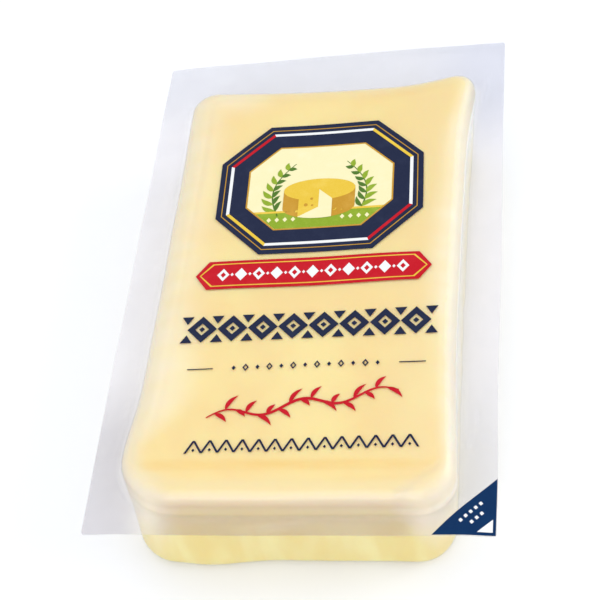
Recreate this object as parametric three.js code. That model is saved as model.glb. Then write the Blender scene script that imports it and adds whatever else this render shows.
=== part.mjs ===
// A vacuum-packed block of kashkaval cheese, lying flat with its printed side up.
//
// Three pieces, as in the real pack: the block of cheese, the deep-drawn bottom film that it sits in, and
// the flat top film that is drawn down over it. The two films are sealed to each other in a wide flange
// all round.
//
// Millimetres, +Z up. The origin is under the middle of the flange, on the surface that the pack lies on.
// The near end, at -Y, is the end with the opening corner, and the print is read from there.

import * as THREE from 'three';

// ---- Driving dimensions ----

const FLANGE = { left: -52, right: 52, near: -81, far: 81, radii: [0.8, 0.8, 0.8, 0.8] };
const FLANGE_HEIGHT = 26.4; // middle of the sealed flange above the table
const FILM = 0.35; // thickness of each film: the real ones are 0.1 to 0.2 mm
const GAP = 0.3; // clearance between pieces that touch in the real pack

// Plan outlines of the cheese. Radii run near left, near right, far right, far left.
const BASE = { left: -43.5, right: 39.9, near: -76.4, far: 65.0, radii: [12, 11, 9, 9], bowed: 0.2 };
const RIM = { left: -41.3, right: 42.3, near: -74.4, far: 65.4, radii: [10.5, 9.5, 6.5, 6.5] };
const TOP = { left: -34.8, right: 39.8, near: -66.8, far: 61.0, radii: [8.0, 6.0, 4.5, 4.5] };

// How far the middle of a side is drawn in between the corners of the cheese.
const BOW = { left: 0.4, right: 2.0, far: 1.6 };

const HEIGHT = 33.5; // top of the pack above the table
const SKIN = GAP + FILM; // cheese surface to the outside of a film
const CHEESE_TOP = HEIGHT - SKIN;
const RIM_HEIGHT = 27.4; // where the upright sides end and the rounded lip starts
const CREASE_STEP = 0.35; // the lip ends this far below the top face, in a crease
const CREASE_HOLD = 0.9; // share of the film's sideways clearance that is gone at the crease
const FOOT_RADIUS = 3.2; // rounding between the sides and the underside
const SIDE_HEIGHTS = [7, 12.5, 19.5]; // levels of the upright side, shared by the cheese and the tray
const TOP_INSETS = [1.2, 24]; // rings on the flat top: one just inside the crease, one well in
const UNDERSIDE_INSET = 24; // ring on the flat underside, which keeps its triangles from growing too long
const SHOULDER_RADIUS = 2.6; // bend between the tray's wall and its flange
const FLANGE_START = 3.6; // the two films lie flat together from this far outside the cheese's rim
const FLANGE_BOWED = 0.6; // share of the cheese's drawn-in outline that the inner edge of the flange follows
const FLANGE_RINGS = [0, 0.45, 1]; // rings across the flange, from its inner edge to its cut edge

// Two corners of the cheese stand out like ears, and the foot bulges forward at the near left.
const EARS = [
  { x: 42, y: 66, reach: 8.5, pushX: 1.7, pushY: 3.0 },
  { x: -43, y: -65, reach: 9, pushX: -2.0, pushY: -0.3 },
];
const BULGE = { x: -24, reach: 11, height: 8, push: 1.6, from: -55, run: 15 };

// The flange is soft: its corners sag or lift, its ends bow, and it ripples a little.
const CORNER_LIFT = { nearLeft: -2.0, nearRight: -1.7, farRight: 3.1, farLeft: -0.9 };
const EDGE_BOW = { near: -1.2, far: 0.5 }; // middle of each end above the line of its corners
const LIFT_RUN = 13; // the lift grows from nothing over this far out from the cheese
const LIFT_DEPTH = { none: 4, full: 1 }; // and between these depths below the flange: the walls stay put
const RIPPLE = { depth: 0.22, along: 21, across: 17 };

const ARC_STEPS = 7; // facets round each corner in plan
const END_STEPS = 8; // facets along each short side
const SIDE_STEPS = 9; // facets along each long side
const FOOT_STEPS = 3; // facets up the rounded foot
const LIP_STEPS = 4; // facets over the rounded lip
const SHOULDER_STEPS = 2; // facets round the tray's shoulder

// ---- Plan outlines ----

const lerp = THREE.MathUtils.lerp;
const smooth = (t) => THREE.MathUtils.smoothstep(t, 0, 1);

/** Even steps from 0 to 1, both ends included. */
const steps = (count) => Array.from({ length: count + 1 }, (_, i) => i / count);

/** The outline moved outwards by a distance, all round. */
function grown(plan, distance) {
  return {
    left: plan.left - distance,
    right: plan.right + distance,
    near: plan.near - distance,
    far: plan.far + distance,
    radii: plan.radii.map((radius) => Math.max(radius + distance, 0.1)),
    bowed: plan.bowed ?? 1,
  };
}

/** An outline part of the way from one plan to another. */
function between(a, b, t) {
  return {
    left: lerp(a.left, b.left, t),
    right: lerp(a.right, b.right, t),
    near: lerp(a.near, b.near, t),
    far: lerp(a.far, b.far, t),
    radii: a.radii.map((radius, i) => lerp(radius, b.radii[i], t)),
    bowed: lerp(a.bowed ?? 1, b.bowed ?? 1, t),
  };
}

/** Draws the sides of the cheese in between its corners, and pushes out its ears. */
function drawnIn(point, plan) {
  const middleX = (plan.left + plan.right) / 2;
  const middleY = (plan.near + plan.far) / 2;
  const u = (2 * (point.x - middleX)) / (plan.right - plan.left);
  const v = (2 * (point.y - middleY)) / (plan.far - plan.near);
  const alongX = Math.max(1 - u * u, 0);
  const alongY = Math.max(1 - v * v, 0);
  const move = new THREE.Vector2(
    alongY * (BOW.left * Math.max(-u, 0) ** 3 - BOW.right * Math.max(u, 0) ** 3),
    -alongX * BOW.far * Math.max(v, 0) ** 3,
  );
  for (const { x, y, reach, pushX, pushY } of EARS) {
    const near = Math.exp(-((point.x - x) ** 2 + (point.y - y) ** 2) / (2 * reach ** 2));
    move.add(new THREE.Vector2(pushX, pushY).multiplyScalar(near));
  }
  return point.addScaledVector(move, plan.bowed);
}

/** The points of a rounded rectangle, anticlockwise from the near left corner, always as many of them. */
function outline({ left, right, near, far, radii, bowed }) {
  const [nearLeft, nearRight, farRight, farLeft] = radii;
  const corners = [
    { x: left + nearLeft, y: near + nearLeft, radius: nearLeft, facets: END_STEPS },
    { x: right - nearRight, y: near + nearRight, radius: nearRight, facets: SIDE_STEPS },
    { x: right - farRight, y: far - farRight, radius: farRight, facets: END_STEPS },
    { x: left + farLeft, y: far - farLeft, radius: farLeft, facets: SIDE_STEPS },
  ];
  const onArc = (i, t) => {
    const corner = corners[i % corners.length];
    const angle = Math.PI + (i + t) * (Math.PI / 2);
    return new THREE.Vector2(
      corner.x + corner.radius * Math.cos(angle),
      corner.y + corner.radius * Math.sin(angle),
    );
  };
  const points = corners.flatMap((corner, i) => {
    const arc = steps(ARC_STEPS).map((t) => onArc(i, t));
    const straight = steps(corner.facets).slice(1, -1);
    return [...arc, ...straight.map((t) => onArc(i, 1).lerp(onArc(i + 1, 0), t))];
  });
  return points.map((point) => drawnIn(point, { left, right, near, far, bowed }));
}

// ---- Where the soft pack settles ----

/** How far the soft flange stands above or below its plane: nothing over the cheese and its sides. */
function flangeLift(x, y, z) {
  const outside = Math.max(RIM.left - x, x - RIM.right, RIM.near - y, y - RIM.far);
  const above = z - FLANGE_HEIGHT + LIFT_DEPTH.none;
  const onFlange = smooth(outside / LIFT_RUN) * smooth(above / (LIFT_DEPTH.none - LIFT_DEPTH.full));
  const u = (x - FLANGE.left) / (FLANGE.right - FLANGE.left);
  const v = (y - FLANGE.near) / (FLANGE.far - FLANGE.near);
  const bow = 4 * u * (1 - u);
  const near = lerp(CORNER_LIFT.nearLeft, CORNER_LIFT.nearRight, u) + EDGE_BOW.near * bow;
  const far = lerp(CORNER_LIFT.farLeft, CORNER_LIFT.farRight, u) + EDGE_BOW.far * bow;
  const wave = Math.sin((Math.PI * x) / RIPPLE.across) * Math.sin((Math.PI * y) / RIPPLE.along);
  return onFlange * (lerp(near, far, v) + RIPPLE.depth * wave);
}

/** How far the foot of the cheese bulges forward at a point. */
function footBulge(x, y, z) {
  const low = Math.exp(-((z / BULGE.height) ** 2));
  const across = Math.exp(-(((x - BULGE.x) / BULGE.reach) ** 2));
  return BULGE.push * low * across * smooth((BULGE.from - y) / BULGE.run);
}

/** A point of a level, moved to where the soft pack really has it. */
const settled = ({ x, y }, z) => new THREE.Vector3(x, y - footBulge(x, y, z), z + flangeLift(x, y, z));

// ---- Solids from stacked outlines ----

/** A level of a solid: an outline at a height. */
const level = (plan, z) => ({ plan, z });

/** Two triangles for a four-sided face, split along its shorter diagonal. */
function quad(points, a, b, c, d) {
  const acrossAC = points[a].distanceToSquared(points[c]);
  const acrossBD = points[b].distanceToSquared(points[d]);
  return acrossAC < acrossBD ? [a, b, c, a, c, d] : [a, b, d, b, c, d];
}

/** A closed solid through a list of levels, its first and last closed by a fan. */
function stacked(levels) {
  const rings = levels.map(({ plan, z }) => outline(plan).map((point) => settled(point, z)));
  const count = rings[0].length;
  const hub = (ring) => ring.reduce((sum, p) => sum.add(p), new THREE.Vector3()).divideScalar(count);
  const points = [...rings.flat(), hub(rings[0]), hub(rings.at(-1))];
  const firstHub = points.length - 2;
  const lastHub = points.length - 1;
  const lastRing = (rings.length - 1) * count;
  const faces = [];
  for (let k = 0; k < count; k += 1) {
    const next = (k + 1) % count;
    faces.push(firstHub, next, k);
    faces.push(lastHub, lastRing + k, lastRing + next);
    for (let ring = 0; ring < lastRing; ring += count) {
      faces.push(...quad(points, ring + k, ring + next, ring + count + next, ring + count + k));
    }
  }
  const geometry = new THREE.BufferGeometry().setFromPoints(points);
  geometry.setIndex(faces);
  geometry.computeVertexNormals();
  return geometry;
}

// ---- Levels shared by the cheese and the films; an offset is a distance out from the cheese ----

/** The plan of the side at a height, between the foot and the rim. */
const sideAt = (z, offset) => grown(between(BASE, RIM, z / RIM_HEIGHT), offset);

/** A ring on the flat underside. */
const undersideLevel = (offset) => level(grown(BASE, offset - UNDERSIDE_INSET), SKIN - offset);

/** The rounded foot, from the flat underside to the upright side. */
function footLevels(offset) {
  const bottom = SKIN - offset;
  return steps(FOOT_STEPS).map((t) => {
    const angle = (t * Math.PI) / 2;
    const inset = FOOT_RADIUS * (1 - Math.sin(angle));
    const rise = FOOT_RADIUS * (1 - Math.cos(angle));
    return level(sideAt(bottom + rise, offset - inset), bottom + rise);
  });
}

/** The upright side. */
const sideLevels = (offset) => SIDE_HEIGHTS.map((z) => level(sideAt(z, offset), z));

/** The rounded lip, from the rim up to the edge of the top face. */
function lipLevels(offset) {
  const rise = CHEESE_TOP - CREASE_STEP - RIM_HEIGHT;
  return steps(LIP_STEPS).map((t) => {
    const angle = (t * Math.PI) / 2;
    const plan = between(RIM, TOP, 1 - Math.cos(angle));
    const z = RIM_HEIGHT + rise * Math.sin(angle) + offset * t;
    return level(grown(plan, offset * (1 - CREASE_HOLD * t)), z);
  });
}

/** The flat top face, from its edge to near its middle. */
const topLevels = (offset) => TOP_INSETS.map((inset) => level(grown(TOP, -inset), CHEESE_TOP + offset));

/** One face of the flat flange, from the foot of the cheese's lip to its cut edge. */
function flangeLevels(z) {
  const inner = { ...grown(RIM, FLANGE_START), bowed: FLANGE_BOWED };
  const edge = { ...FLANGE, bowed: 0 };
  return FLANGE_RINGS.map((t) => level(between(inner, edge, t), z));
}

// ---- The three pieces ----

/** The block of cheese: flat underside, upright sides, rounded lip and flat top. */
function cheeseBlock() {
  return stacked([
    undersideLevel(0),
    ...footLevels(0),
    ...sideLevels(0),
    ...lipLevels(0),
    ...topLevels(0),
  ]);
}

/** One face of the tray film, from the middle of its floor to the edge of its flange. */
function trayFace(offset) {
  const flangeZ = FLANGE_HEIGHT - offset + GAP / 2;
  const shoulder = steps(SHOULDER_STEPS).map((t) => {
    const angle = (t * Math.PI) / 2;
    const out = SHOULDER_RADIUS * (1 - Math.cos(angle));
    const z = flangeZ - SHOULDER_RADIUS * (1 - Math.sin(angle));
    return level({ ...sideAt(z, offset + out), bowed: lerp(1, FLANGE_BOWED, t) }, z);
  });
  return [
    undersideLevel(offset),
    ...footLevels(offset),
    ...sideLevels(offset),
    ...shoulder,
    ...flangeLevels(flangeZ),
  ];
}

/** One face of the top film, from the middle of the top to the edge of its flange. */
function lidFace(offset) {
  return [
    ...topLevels(offset).reverse(),
    ...lipLevels(offset).reverse(),
    ...flangeLevels(FLANGE_HEIGHT + offset - GAP / 2),
  ];
}

/** A film between two faces: out along one and back along the other. */
const film = (under, over) => stacked([...under, ...over.reverse()]);

// ---- The scene graph ----

const cheese = new THREE.MeshStandardMaterial({ color: 0xf7e3a4, roughness: 0.5, metalness: 0 });
const clearFilm = new THREE.MeshStandardMaterial({
  color: 0xe4e4ec,
  roughness: 0.22,
  metalness: 0,
  transparent: true,
  opacity: 0.35,
});

/** A named mesh. */
function piece(name, geometry, material) {
  const mesh = new THREE.Mesh(geometry, material);
  mesh.name = name;
  return mesh;
}

const pack = new THREE.Group();
pack.add(piece('cheese_block', cheeseBlock(), cheese));
pack.add(piece('bottom_film', film(trayFace(SKIN), trayFace(GAP)), clearFilm));
pack.add(piece('top_film', film(lidFace(GAP), lidFace(SKIN)), clearFilm));

export default pack;
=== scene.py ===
"""A vacuum-packed block of kashkaval, dressed for its final render.

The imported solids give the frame. The cheese, the two films and the print are built here at the same
sizes, with finer surfaces, and the cheese and each film stand for their own solid. Sizes are in
millimetres until a piece is finished, and in metres from then on.
"""

from __future__ import annotations

import logging
import math
from dataclasses import dataclass, field, replace
from enum import Enum
from typing import Any, Callable, Iterable, Sequence

import bmesh
import bpy
from mathutils import Matrix, Vector, noise

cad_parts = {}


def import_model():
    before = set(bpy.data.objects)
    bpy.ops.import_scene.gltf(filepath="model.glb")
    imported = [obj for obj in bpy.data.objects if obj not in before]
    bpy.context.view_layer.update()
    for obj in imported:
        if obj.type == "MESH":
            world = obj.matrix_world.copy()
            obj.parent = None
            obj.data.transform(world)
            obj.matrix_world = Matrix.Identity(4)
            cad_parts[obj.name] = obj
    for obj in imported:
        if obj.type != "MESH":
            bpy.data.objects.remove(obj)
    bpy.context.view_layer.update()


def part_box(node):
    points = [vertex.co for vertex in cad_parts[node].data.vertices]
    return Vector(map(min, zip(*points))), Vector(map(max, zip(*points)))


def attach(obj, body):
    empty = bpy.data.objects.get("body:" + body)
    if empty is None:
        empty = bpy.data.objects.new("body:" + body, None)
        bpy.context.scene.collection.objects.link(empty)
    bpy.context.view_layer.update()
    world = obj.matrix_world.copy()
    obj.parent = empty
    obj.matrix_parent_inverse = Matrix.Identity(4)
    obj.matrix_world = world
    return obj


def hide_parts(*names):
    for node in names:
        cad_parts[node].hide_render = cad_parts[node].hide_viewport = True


LOG = logging.getLogger("kashkaval")
MM = 0.001
BODY = "root"
MILK = "milk"
SEAL = "seal"
# The vertex attribute that holds the cheese's share of painted highlight round its rim.
PALE = "pale"
SHARP = math.radians(50)
SEED = 5
SMOOTHLY = {"interpolation_type": "SMOOTHSTEP"}
QUARTER = math.pi / 2

Triple = tuple[float, float, float]
Colour = tuple[float, float, float]
Point = tuple[float, float]
Ramp = tuple[float, float]
Socket = bpy.types.NodeSocket


class Slot(Enum):
    """The record's material slots."""

    CHEESE = "cheese"
    FILM = "clear_film"
    NAVY = "navy_print"
    RED = "red_print"
    GOLD = "gold_print"
    GREEN = "green_print"
    WHITE = "white_print"


# ---- Shader maths ----


class Graph:
    """The node tree of one material."""

    def __init__(self, name: str) -> None:
        """Starts an empty material.

        Args:
            name: The material's name.
        """
        self.material = bpy.data.materials.new(name)
        self.material.use_nodes = True
        self.tree = self.material.node_tree
        self.tree.nodes.clear()

    def node(
        self,
        kind: str,
        settings: dict[str, Any] | None = None,
        inputs: dict[int | str, Any] | None = None,
    ) -> bpy.types.Node:
        """Adds a node.

        Args:
            kind: The node's type, without the leading ShaderNode.
            settings: Attributes set first. "stops" fills a colour ramp with (place, colour) pairs.
            inputs: A value, a Value or a socket for each input, by its name or number.

        Returns:
            The node.
        """
        made = self.tree.nodes.new("ShaderNode" + kind)
        for key, setting in (settings or {}).items():
            if key != "stops":
                setattr(made, key, setting)
                continue
            ramp = made.color_ramp
            while len(ramp.elements) < len(setting):
                ramp.elements.new(0.5)
            for stop, (place, colour) in zip(ramp.elements, setting):
                stop.position = place
                stop.color = (*colour, 1.0)
        for key, given in (inputs or {}).items():
            socket = made.inputs[key]
            given = given.socket if isinstance(given, Value) else given
            if isinstance(given, bpy.types.NodeSocket):
                self.tree.links.new(given, socket)
            elif socket.type == "RGBA":
                socket.default_value = (*given, 1.0)
            else:
                socket.default_value = given
        return made

    def shader(self, kind: str, inputs: dict[int | str, Any]) -> Socket:
        """Adds a shader of a type, without its leading Bsdf, and returns its socket."""
        return self.node("Bsdf" + kind, None, inputs).outputs[0]

    def blend(self, share: Value | float, first: Any, second: Any) -> Socket:
        """Mixes two colours, of which the second shows by a share from 0 to 1."""
        return self.node("Mix", {"data_type": "RGBA"}, {0: share, 6: first, 7: second}).outputs[2]

    def mixed(self, share: Value | float, first: Socket | Colour, second: Socket | Colour) -> Socket:
        """Mixes two shaders. A colour stands for a clear sheet that tints what lies behind it.

        Args:
            share: How much of the second shows, from 0 to 1.
            first: A shader or a colour.
            second: A shader or a colour.

        Returns:
            The mixed shader.
        """
        inputs: dict[int | str, Any] = {0: share}
        for number, given in ((1, first), (2, second)):
            clear = isinstance(given, tuple)
            inputs[number] = self.shader("Transparent", {"Color": given}) if clear else given
        return self.node("MixShader", None, inputs).outputs[0]

    def layered(
        self, mixer: Callable[..., Socket], base: Any, layers: Sequence[tuple[Value, Any]]
    ) -> Socket:
        """Lays colours or shaders over one another.

        Args:
            mixer: The method that mixes two of them, blend or mixed.
            base: The lowest one.
            layers: The share and the colour or shader of each that lies over it, in order.

        Returns:
            The result.
        """
        for share, over in layers:
            base = mixer(share, base, over)
        return base

    def bump(self, height: Value, strength: float, distance: float = 0.0006) -> Socket:
        """Adds a bump from a pattern of heights, and returns its normal."""
        inputs = {"Height": height, "Strength": strength, "Distance": distance}
        return self.node("Bump", None, inputs).outputs[0]

    def outside(self) -> Value:
        """The side that is seen: 1 for the outer side of a surface, and 0 for its inner side."""
        return 1.0 - Value(self, self.node("NewGeometry").outputs["Backfacing"])

    def maths(self, operation: str, operands: Sequence[Value | float], clamp: bool = False) -> Value:
        """Adds a Math node, with its inputs in order and its result held between 0 and 1 if asked."""
        settings = {"operation": operation, "use_clamp": clamp}
        return Value(self, self.node("Math", settings, dict(enumerate(operands))).outputs[0])

    def cloud(self, scale: float, detail: float = 2.0, stretch: Triple = (1, 1, 1)) -> Value:
        """A noise pattern fixed to the piece.

        Args:
            scale: Features to a metre.
            detail: Octaves of finer noise.
            stretch: How many times closer the features lie along each axis.

        Returns:
            The pattern, from 0 to 1 with a mean of about 0.5.
        """
        place = self.node("TexCoord").outputs["Object"]
        mapped = self.node("Mapping", None, {"Vector": place, "Scale": stretch})
        inputs = {"Vector": mapped.outputs[0], "Scale": scale, "Detail": detail}
        return Value(self, self.node("TexNoise", None, inputs).outputs[0])

    def place(self) -> tuple[Value, ...]:
        """The place on the piece, as three numbers in millimetres."""
        split = self.node("SeparateXYZ", None, {0: self.node("TexCoord").outputs["Object"]})
        return tuple(Value(self, out) / MM for out in split.outputs)

    def attribute(self, name: str) -> Value:
        """The number that the mesh holds at each vertex under a name."""
        made = self.node("Attribute", {"attribute_type": "GEOMETRY", "attribute_name": name})
        return Value(self, made.outputs["Fac"])

    def show(self, shader: Socket) -> bpy.types.Material:
        """Ends the tree in a shader, and returns the material."""
        self.node("OutputMaterial", None, {"Surface": shader})
        return self.material


@dataclass(frozen=True)
class Value:
    """A number at every point of a surface, whose operators add Math nodes."""

    graph: Graph
    socket: Socket

    def math(self, operation: str, *others: Value | float, clamp: bool = False) -> Value:
        """Adds one Math node, with this number as its first input."""
        return self.graph.maths(operation, (self, *others), clamp)

    def __add__(self, other: Value | float) -> Value:
        """The sum."""
        return self.math("ADD", other)

    __radd__ = __add__

    def __mul__(self, other: Value | float) -> Value:
        """The product."""
        return self.math("MULTIPLY", other)

    __rmul__ = __mul__

    def __sub__(self, other: Value | float) -> Value:
        """The difference."""
        return self.math("SUBTRACT", other)

    def __rsub__(self, other: Value | float) -> Value:
        """The difference, the other way round."""
        return self.graph.maths("SUBTRACT", (other, self))

    def __truediv__(self, other: Value | float) -> Value:
        """The quotient."""
        return self.math("DIVIDE", other)

    def clamp(self) -> Value:
        """The number held between 0 and 1."""
        return self.math("ADD", 0.0, clamp=True)

    def rise(self, low: float, high: float) -> Value:
        """A smooth rise from 0 at one number to 1 at another, which may be the lower."""
        inputs = {"Value": self, "From Min": low, "From Max": high}
        return Value(self.graph, self.graph.node("MapRange", SMOOTHLY, inputs).outputs[0])

    def peak(self, middle: float, reach: float) -> Value:
        """A smooth hump of height 1 round a number, which is 0 past its reach."""
        return 1.0 - (self - middle).math("ABSOLUTE").rise(0.0, reach)


# ---- Finishes ----


@dataclass(frozen=True)
class CheeseFinish:
    """Pale, faintly waxy cheese, which light goes into by its depth, in metres."""

    warm: Colour = (0.86, 0.64, 0.265)
    lemon: Colour = (0.88, 0.71, 0.295)
    # Painted highlight: a lighter colour for the lip and the right side of the top, standing in for the
    # light they catch.
    lip_highlight: Colour = (0.85, 0.705, 0.375)
    # Painted shade: a darker tan for the lip's underside and the upper wall behind the flange.
    under_lip_shade: Colour = (0.80, 0.68, 0.36)
    # Painted shade: a darker, more saturated colour along the crease at the top's near end.
    crease_shade: Colour = (0.84, 0.58, 0.18)
    wall: Colour = (0.84, 0.745, 0.345)
    wall_dark: Colour = (0.79, 0.645, 0.24)
    # Painted highlight round the rim, near, left and right, standing in for the light that the lifted film
    # and the rounded edge catch.
    near_rim_highlight: Colour = (0.83, 0.70, 0.53)
    left_rim_highlight: Colour = (0.89, 0.785, 0.56)
    right_rim_highlight: Colour = (0.935, 0.92, 0.80)
    # Painted light: near white on the right wall below the rim, which is in shade.
    right_wall_painted_light: Colour = (0.95, 0.95, 0.90)
    roughness: float = 0.5
    depth: float = 0.006
    depth_share: float = 0.35
    depth_ratios: Triple = (1.0, 0.55, 0.18)
    crease_y: float = -65.7
    crease_reach: float = 2.5

    def rim_highlight(self, graph: Graph) -> Socket:
        """The painted highlight round the cheese's rim, which stands in for the light that the lifted film
        and the rounded edge catch, with painted light on the shaded right wall.

        Args:
            graph: The cheese's node tree.

        Returns:
            The colour.
        """
        x, y, z = graph.place()
        # Painted light on the right wall below the rim, which is in shade.
        right_wall_painted_light = x.rise(35.0, 38.5) * z.rise(28.0, 25.0) * y.rise(-73.0, -66.0)
        near_middle = y.rise(-56.0, -70.0) * (x.rise(-36.0, -24.0) * x.rise(58.0, 24.0))
        sides = graph.blend(x.rise(5.0, 35.0), self.left_rim_highlight, self.right_rim_highlight)
        layers = [(right_wall_painted_light, self.right_wall_painted_light), (near_middle, self.near_rim_highlight)]
        return graph.layered(graph.blend, sides, layers)

    def material(self) -> bpy.types.Material:
        """Mixes the cheese's colours, from its top face down over the lip to its pressed walls, with
        painted highlight on the lip and rim and painted shade in the crease and under the lip.

        Returns:
            The material.
        """
        graph = Graph("cheese")
        x, y, z = graph.place()
        patches = graph.cloud(42.0, 3.0).rise(0.35, 0.68)
        streaky = graph.cloud(60.0, 2.0, (1, 3, 1)).rise(0.3, 0.7)
        pressed = graph.cloud(130.0, 3.0, (1, 1, 0.22)).rise(0.35, 0.7)
        # Painted shade: a narrow darker band along the crease.
        crease_shade_band = y.peak(self.crease_y, self.crease_reach) * z.rise(31.8, 32.4) * x.rise(40.0, 26.0)
        layers = [
            # Painted highlight: the lip, and fainter the right side of the top, take the lighter lip
            # colour.
            (z.rise(32.9, 32.1) * 0.85, self.lip_highlight),
            (x.rise(18.0, 36.0) * 0.4, self.lip_highlight),
            (crease_shade_band * (0.45 + 0.45 * streaky), self.crease_shade),
            (z.rise(26.0, 18.0), graph.blend(pressed, self.wall_dark, self.wall)),
            # Painted shade under the lip, where the flange shades the wall.
            (z.rise(29.4, 27.6) * z.rise(18.0, 24.0), self.under_lip_shade),
            # Painted highlight round the rim, by the mesh's pale share.
            (graph.attribute(PALE) * (0.85 + 0.3 * streaky), self.rim_highlight(graph)),
        ]
        colour = graph.layered(graph.blend, graph.blend(patches, self.warm, self.lemon), layers)
        grain = graph.cloud(900.0, 2.0) + 2.0 * graph.cloud(260.0, 2.0)
        inputs = {
            "Base Color": colour,
            "Roughness": self.roughness - 0.1 * patches,
            "Subsurface Weight": self.depth_share,
            "Subsurface Radius": self.depth_ratios,
            "Subsurface Scale": self.depth,
            "Normal": graph.bump(grain, 0.1, 0.0003),
        }
        return graph.show(graph.shader("Principled", inputs))


@dataclass(frozen=True)
class FilmFinish:
    """Clear plastic film that turns milky where it stands off the cheese."""

    name: str
    milk: Colour = (0.88, 0.875, 0.91)
    tint: Colour = (0.978, 0.97, 0.983)
    # The far, corner, near and right tints are partly the film's own grey and partly painted shade of the
    # floor below the flange.
    far_tint: Colour = (0.915, 0.915, 0.935)
    corner_tint: Colour = (0.875, 0.88, 0.92)
    near_tint: Colour = (0.86, 0.847, 0.863)
    right_tint: Colour = (0.93, 0.925, 0.935)
    # Painted light: a lighter tint beside the near corners and the right wall, which lifts the shade seen
    # there through the flange.
    wall_painted_light_tint: Colour = (0.985, 0.975, 0.962)
    # Painted shade: a browner tint before the near wall, standing in for the shade on the wall behind the
    # flange.
    window_shade_tint: Colour = (0.88, 0.835, 0.81)
    pressed: Colour = (0.99, 0.99, 0.99)
    roughness: float = 0.3
    glow: float = 0.4
    gloss: float = 0.16
    square_on: float = 0.03
    edge_on: float = 0.4

    def through(self, graph: Graph) -> Socket:
        """The clear part of the film's inner face: greyer in the flange, partly as painted shade of the
        floor below, browner before the near wall as painted shade, and lighter beside the walls as painted
        light.

        Args:
            graph: The film's node tree.

        Returns:
            The shader.
        """
        x, y, _ = graph.place()
        near = graph.mixed(x.rise(15.0, 44.0), self.near_tint, self.right_tint)
        far_right = y.rise(34.0, 62.0) * x.rise(24.0, 46.0)
        # Painted light beside the near corners and the right wall.
        near_corners = y.rise(-60.0, -68.0) * (x.peak(-34.3, 8.0) + x.peak(35.0, 10.0))
        right_wall_painted_light = x.peak(41.0, 4.0) * y.rise(60.0, 48.0)
        # Painted shade before the near wall.
        window = y.rise(-71.0, -74.0) * x.math("ABSOLUTE").rise(36.0, 25.0)
        layers = [
            (y.rise(-58.0, -30.0), self.tint),
            (y.rise(50.0, 72.0), self.far_tint),
            (far_right, self.corner_tint),
            ((near_corners + right_wall_painted_light).clamp(), self.wall_painted_light_tint),
            (window, self.window_shade_tint),
        ]
        flange = graph.layered(graph.mixed, near, layers)
        return graph.mixed(graph.attribute(SEAL).clamp(), self.pressed, flange)

    def material(self) -> bpy.types.Material:
        """Mixes a clear sheet, a haze that light comes through too, and a gloss on its outer side.

        Returns:
            The material.
        """
        graph = Graph(self.name)
        cloudy = graph.cloud(38.0, 2.0).rise(0.3, 0.7)
        haze = graph.attribute(MILK) * (0.7 + 0.45 * cloudy)
        normal = graph.bump(graph.cloud(160.0, 1.0, (1, 1, 0.4)), 0.12)
        inputs = {"Base Color": self.milk, "Roughness": self.roughness + 0.1 * cloudy, "Normal": normal}
        lit = graph.shader("Principled", inputs)
        body = graph.mixed(self.glow, lit, graph.shader("Translucent", {"Color": self.milk}))
        sheet = graph.mixed(haze, graph.mixed(graph.outside(), self.pressed, self.through(graph)), body)
        facing = Value(graph, graph.node("LayerWeight", None, {"Blend": 0.5}).outputs["Facing"])
        mirror = self.square_on + (self.edge_on - self.square_on) * facing.math("POWER", 5.0)
        gloss = graph.shader("Glossy", {"Roughness": self.gloss, "Normal": normal})
        return graph.show(graph.mixed(mirror * graph.outside(), sheet, gloss))


@dataclass(frozen=True)
class InkFinish:
    """Opaque ink under the gloss of the film."""

    name: str
    colour: Colour
    thin: Colour
    roughness: float = 0.38
    sheen: float = 0.10

    def material(self) -> bpy.types.Material:
        """Mixes the ink's colours, a little thinner in places, as flexographic print is.

        Returns:
            The material.
        """
        graph = Graph(self.name)
        worn = graph.cloud(240.0, 4.0).rise(0.45, 0.8)
        grain = graph.cloud(2600.0, 1.0).rise(0.4, 0.7)
        inputs = {
            "Base Color": graph.blend(worn * 0.5 + 0.2 * grain, self.colour, self.thin),
            "Roughness": self.roughness + 0.08 * grain,
            "Specular IOR Level": self.sheen,
            "Normal": graph.bump(graph.cloud(120.0, 2.0), 0.06),
        }
        return graph.show(graph.shader("Principled", inputs))


class Tone(Enum):
    """The print's colours: the slot of each, its colour and the colour where the ink lies thin."""

    NAVY = (Slot.NAVY, (0.010, 0.016, 0.048), (0.022, 0.030, 0.070))
    BLUE = (Slot.NAVY, (0.001, 0.024, 0.090), (0.003, 0.034, 0.112))
    RED = (Slot.RED, (0.50, 0.004, 0.014), (0.60, 0.020, 0.035))
    GOLD = (Slot.GOLD, (0.74, 0.50, 0.045), (0.84, 0.62, 0.12))
    AMBER = (Slot.GOLD, (0.52, 0.27, 0.025), (0.62, 0.36, 0.06))
    LEAF = (Slot.GREEN, (0.24, 0.36, 0.022), (0.36, 0.48, 0.06))
    STEM = (Slot.GREEN, (0.07, 0.16, 0.020), (0.12, 0.24, 0.04))
    CREAM = (Slot.WHITE, (0.84, 0.78, 0.46), (0.88, 0.83, 0.56))
    WHITE = (Slot.WHITE, (0.80, 0.81, 0.82), (0.85, 0.85, 0.84))

    @property
    def slot(self) -> Slot:
        """The material slot of the record that the colour belongs to."""
        return self.value[0]

    def finish(self) -> InkFinish:
        """The colour's finish."""
        return InkFinish(self.name.lower() + "_ink", self.value[1], self.value[2])


# ---- Plans and the form of the pack ----


def held(share: float) -> float:
    """The share held between 0 and 1."""
    return min(max(share, 0.0), 1.0)


def smooth(share: float) -> float:
    """A smooth rise from 0 to 1 as the share goes from 0 to 1, flat outside."""
    share = held(share)
    return share * share * (3.0 - 2.0 * share)


def ramp(number: float, start: float, run: float) -> float:
    """A smooth rise from 0 at a start to 1 at the end of its run, which goes down if it is less than 0."""
    return smooth((number - start) / run)


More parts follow.
